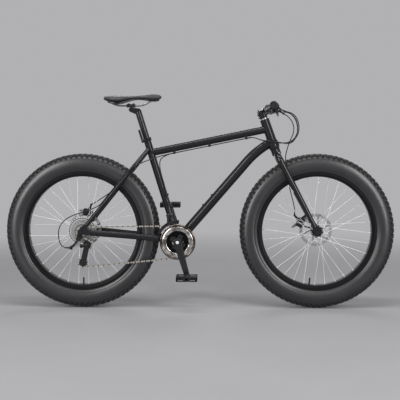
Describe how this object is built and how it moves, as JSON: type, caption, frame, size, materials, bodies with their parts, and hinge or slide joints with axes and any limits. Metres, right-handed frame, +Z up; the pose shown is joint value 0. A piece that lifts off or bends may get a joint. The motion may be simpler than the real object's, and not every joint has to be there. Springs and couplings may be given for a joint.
{
  "type": "fat tire bike",
  "caption": "Rigid mountain bike with very wide tyres, sloping frame, straight fork, flat bar, disc brakes, chain drive with derailleurs and a padded saddle.",
  "frame": {"origin": "on the ground under the middle of the bike, half way between the axles", "axes": "+X to the front wheel, +Y to the rider's left, away from the chain, +Z up"},
  "size_m": [1.8848, 0.6832, 1.0364],
  "materials": {
    "frame_paint": "satin black paint",
    "tyre_rubber": "matt rubber",
    "tube_rubber": "matt rubber",
    "rim_black": "satin black anodised",
    "spoke_steel": "bright",
    "hub_black": "satin black anodised",
    "rotor_steel": "ground",
    "bearing_steel": "satin",
    "cockpit_black": "satin black",
    "grip_rubber": "matt",
    "saddle_skin": "soft satin black",
    "black_plastic": "matt",
    "rail_steel": "satin",
    "chain_steel": "nickel",
    "crank_black": "satin black",
    "guard_chrome": "polished",
    "cog_steel": "satin",
    "link_silver": "polished",
    "cable_black": "satin"
  },
  "bodies": {
    "frame": {"main_frame": "frame_paint", "rear_triangle": "frame_paint", "cable_guides": "black_plastic", "seat_collar": "cockpit_black", "frame_bearings": "bearing_steel", "rear_axle": "bearing_steel", "rear_caliper": "cockpit_black", "chain": "chain_steel", "front_derailleur_mount": "cockpit_black", "rear_derailleur_mount": "cockpit_black", "frame_cables": "cable_black", "control_cable_loops": "cable_black"},
    "steering": {"fork": "frame_paint", "stem": "cockpit_black", "stem_faceplate": "cockpit_black", "headset_spacers": "cockpit_black", "handlebar": "cockpit_black", "grips": "grip_rubber", "bar_controls": "cockpit_black", "front_caliper": "cockpit_black", "front_brake_cable": "cable_black", "front_axle": "bearing_steel"},
    "seatpost": {"seatpost": "cockpit_black", "seatpost_clamp": "cockpit_black", "saddle_rails": "rail_steel", "saddle_shell": "black_plastic", "saddle_cover": "saddle_skin"},
    "front_wheel": {"front_tyre": "tyre_rubber", "front_inner_tube": "tube_rubber", "front_rim": "rim_black", "front_spokes": "spoke_steel", "front_hub": "hub_black", "front_rotor": "rotor_steel"},
    "rear_wheel": {"rear_tyre": "tyre_rubber", "rear_inner_tube": "tube_rubber", "rear_rim": "rim_black", "rear_spokes": "spoke_steel", "rear_hub": "hub_black", "rear_rotor": "rotor_steel"},
    "crankset": {"crank_arms": "crank_black", "chainrings": "guard_chrome", "crank_axles": "bearing_steel"},
    "cassette": {"cassette": "cog_steel"},
    "pedal_right": {"pedal_right": "black_plastic"},
    "pedal_left": {"pedal_left": "black_plastic"},
    "brake_lever_right": {"brake_lever_right": "cockpit_black"},
    "brake_lever_left": {"brake_lever_left": "cockpit_black"},
    "shift_lever_right": {"shift_lever_right": "cockpit_black"},
    "shift_lever_left": {"shift_lever_left": "cockpit_black"},
    "front_brake_arm": {"front_brake_arm": "cockpit_black"},
    "rear_brake_arm": {"rear_brake_arm": "cockpit_black"},
    "front_qr_lever": {"front_qr_lever": "cockpit_black"},
    "rear_qr_lever": {"rear_qr_lever": "cockpit_black"},
    "seat_qr_lever": {"seat_qr_lever": "cockpit_black"},
    "front_derailleur_cage": {"front_derailleur_cage": "cog_steel"},
    "rear_derailleur_link": {"rear_derailleur_link": "link_silver"},
    "rear_derailleur_knuckle": {"rear_derailleur_knuckle": "cockpit_black"},
    "rear_derailleur_cage": {"rear_derailleur_cage": "cockpit_black"},
    "guide_pulley": {"guide_pulley": "black_plastic"},
    "tension_pulley": {"tension_pulley": "black_plastic"}
  },
  "joints": [
    {"name": "steering", "type": "hinge", "parent": "frame", "child": "steering", "pos_m": [0.36533, 0, 0.76965], "axis": [-0.342, 0, 0.9397], "range_deg": [-75, 75], "deforming": ["control_cable_loops"]},
    {"name": "front_wheel_spin", "type": "hinge", "parent": "steering", "child": "front_wheel", "pos_m": [0.5675, 0, 0.375], "axis": [0, 1, 0], "continuous": true},
    {"name": "rear_wheel_spin", "type": "hinge", "parent": "frame", "child": "rear_wheel", "pos_m": [-0.5675, 0, 0.375], "axis": [0, 1, 0], "continuous": true, "deforming": ["chain"]},
    {"name": "crank_spin", "type": "hinge", "parent": "frame", "child": "crankset", "pos_m": [-0.1035, 0, 0.327], "axis": [0, 1, 0], "continuous": true},
    {"name": "cassette_spin", "type": "hinge", "parent": "frame", "child": "cassette", "pos_m": [-0.5675, 0, 0.375], "axis": [0, 1, 0], "continuous": true},
    {"name": "pedal_right_spin", "type": "hinge", "parent": "crankset", "child": "pedal_right", "pos_m": [-0.05664, 0, 0.16359], "axis": [0, 1, 0], "continuous": true},
    {"name": "pedal_left_spin", "type": "hinge", "parent": "crankset", "child": "pedal_left", "pos_m": [-0.15036, 0, 0.49041], "axis": [0, 1, 0], "continuous": true},
    {"name": "brake_lever_right_pull", "type": "hinge", "parent": "steering", "child": "brake_lever_right", "pos_m": [0.38154, -0.1842, 0.95335], "axis": [-0.668, 0.0584, -0.7419], "range_deg": [0, 18], "stiffness_Nm_per_rad": 0.8, "springref_deg": -17.19},
    {"name": "brake_lever_left_pull", "type": "hinge", "parent": "steering", "child": "brake_lever_left", "pos_m": [0.38154, 0.1842, 0.95335], "axis": [0.668, 0.0584, 0.7419], "range_deg": [0, 18], "stiffness_Nm_per_rad": 0.8, "springref_deg": -17.19},
    {"name": "rear_brake_arm_pull", "type": "hinge", "parent": "frame", "child": "rear_brake_arm", "pos_m": [-0.55436, 0.089, 0.45797], "axis": [0, 1, 0], "range_deg": [0, 25]},
    {"name": "front_brake_arm_pull", "type": "hinge", "parent": "steering", "child": "front_brake_arm", "pos_m": [0.492, 0.071, 0.41182], "axis": [0, 1, 0], "range_deg": [0, 25]},
    {"name": "shift_lever_right_push", "type": "hinge", "parent": "steering", "child": "shift_lever_right", "pos_m": [0.34883, -0.13095, 0.94505], "axis": [0, 0, -1], "range_deg": [0, 25], "stiffness_Nm_per_rad": 0.2, "springref_deg": -11.46},
    {"name": "shift_lever_left_push", "type": "hinge", "parent": "steering", "child": "shift_lever_left", "pos_m": [0.34883, 0.13095, 0.94505], "axis": [0, 0, 1], "range_deg": [0, 25], "stiffness_Nm_per_rad": 0.2, "springref_deg": -11.46},
    {"name": "front_qr_open", "type": "hinge", "parent": "steering", "child": "front_qr_lever", "pos_m": [0.5675, 0.0845, 0.375], "axis": [-0.2588, 0, -0.9659], "range_deg": [0, 160]},
    {"name": "rear_qr_open", "type": "hinge", "parent": "frame", "child": "rear_qr_lever", "pos_m": [-0.5675, 0.102, 0.375], "axis": [-0.2588, 0, -0.9659], "range_deg": [0, 160]},
    {"name": "seat_qr_open", "type": "hinge", "parent": "frame", "child": "seat_qr_lever", "pos_m": [-0.27449, -0.02885, 0.81004], "axis": [0, -1, 0], "range_deg": [0, 160]},
    {"name": "seatpost_slide", "type": "slide", "parent": "frame", "child": "seatpost", "axis": [-0.2957, 0, 0.9553], "range_m": [-0.06, 0.03]},
    {"name": "front_derailleur_swing", "type": "hinge", "parent": "frame", "child": "front_derailleur_cage", "pos_m": [-0.14135, -0.058, 0.45528], "axis": [1, 0, 0], "range_deg": [0, 12], "deforming": ["chain"]},
    {"name": "rear_derailleur_swing", "type": "hinge", "parent": "frame", "child": "rear_derailleur_link", "pos_m": [-0.61396, -0.09175, 0.30351], "axis": [0, 0.7547, 0.6561], "range_deg": [0, 62], "stiffness_Nm_per_rad": 0.5, "springref_deg": -45.84, "deforming": ["chain"]},
    {"name": "rear_derailleur_level", "type": "hinge", "parent": "rear_derailleur_link", "child": "rear_derailleur_knuckle", "pos_m": [-0.5635, -0.1, 0.313], "axis": [0, 0.7547, 0.6561], "range_deg": [-62, 0]},
    {"name": "chain_cage_swing", "type": "hinge", "parent": "rear_derailleur_knuckle", "child": "rear_derailleur_cage", "pos_m": [-0.5395, -0.074, 0.313], "axis": [0, 1, 0], "range_deg": [-45, 25], "stiffness_Nm_per_rad": 1, "deforming": ["chain"]},
    {"name": "guide_pulley_spin", "type": "hinge", "parent": "rear_derailleur_cage", "child": "guide_pulley", "pos_m": [-0.5395, -0.074, 0.313], "axis": [0, 1, 0], "continuous": true},
    {"name": "tension_pulley_spin", "type": "hinge", "parent": "rear_derailleur_cage", "child": "tension_pulley", "pos_m": [-0.56015, -0.074, 0.2254], "axis": [0, 1, 0], "continuous": true}
  ],
  "couplings": [
    {"joint": "crank_spin", "follows": "rear_wheel_spin", "ratio": 0.28947},
    {"joint": "cassette_spin", "follows": "rear_wheel_spin", "ratio": 1},
    {"joint": "guide_pulley_spin", "follows": "rear_wheel_spin", "ratio": -1},
    {"joint": "tension_pulley_spin", "follows": "rear_wheel_spin", "ratio": 1},
    {"joint": "rear_brake_arm_pull", "follows": "brake_lever_right_pull", "ratio": 1.35},
    {"joint": "front_brake_arm_pull", "follows": "brake_lever_left_pull", "ratio": 1.35},
    {"joint": "rear_derailleur_level", "follows": "rear_derailleur_swing", "ratio": -1}
  ]
}
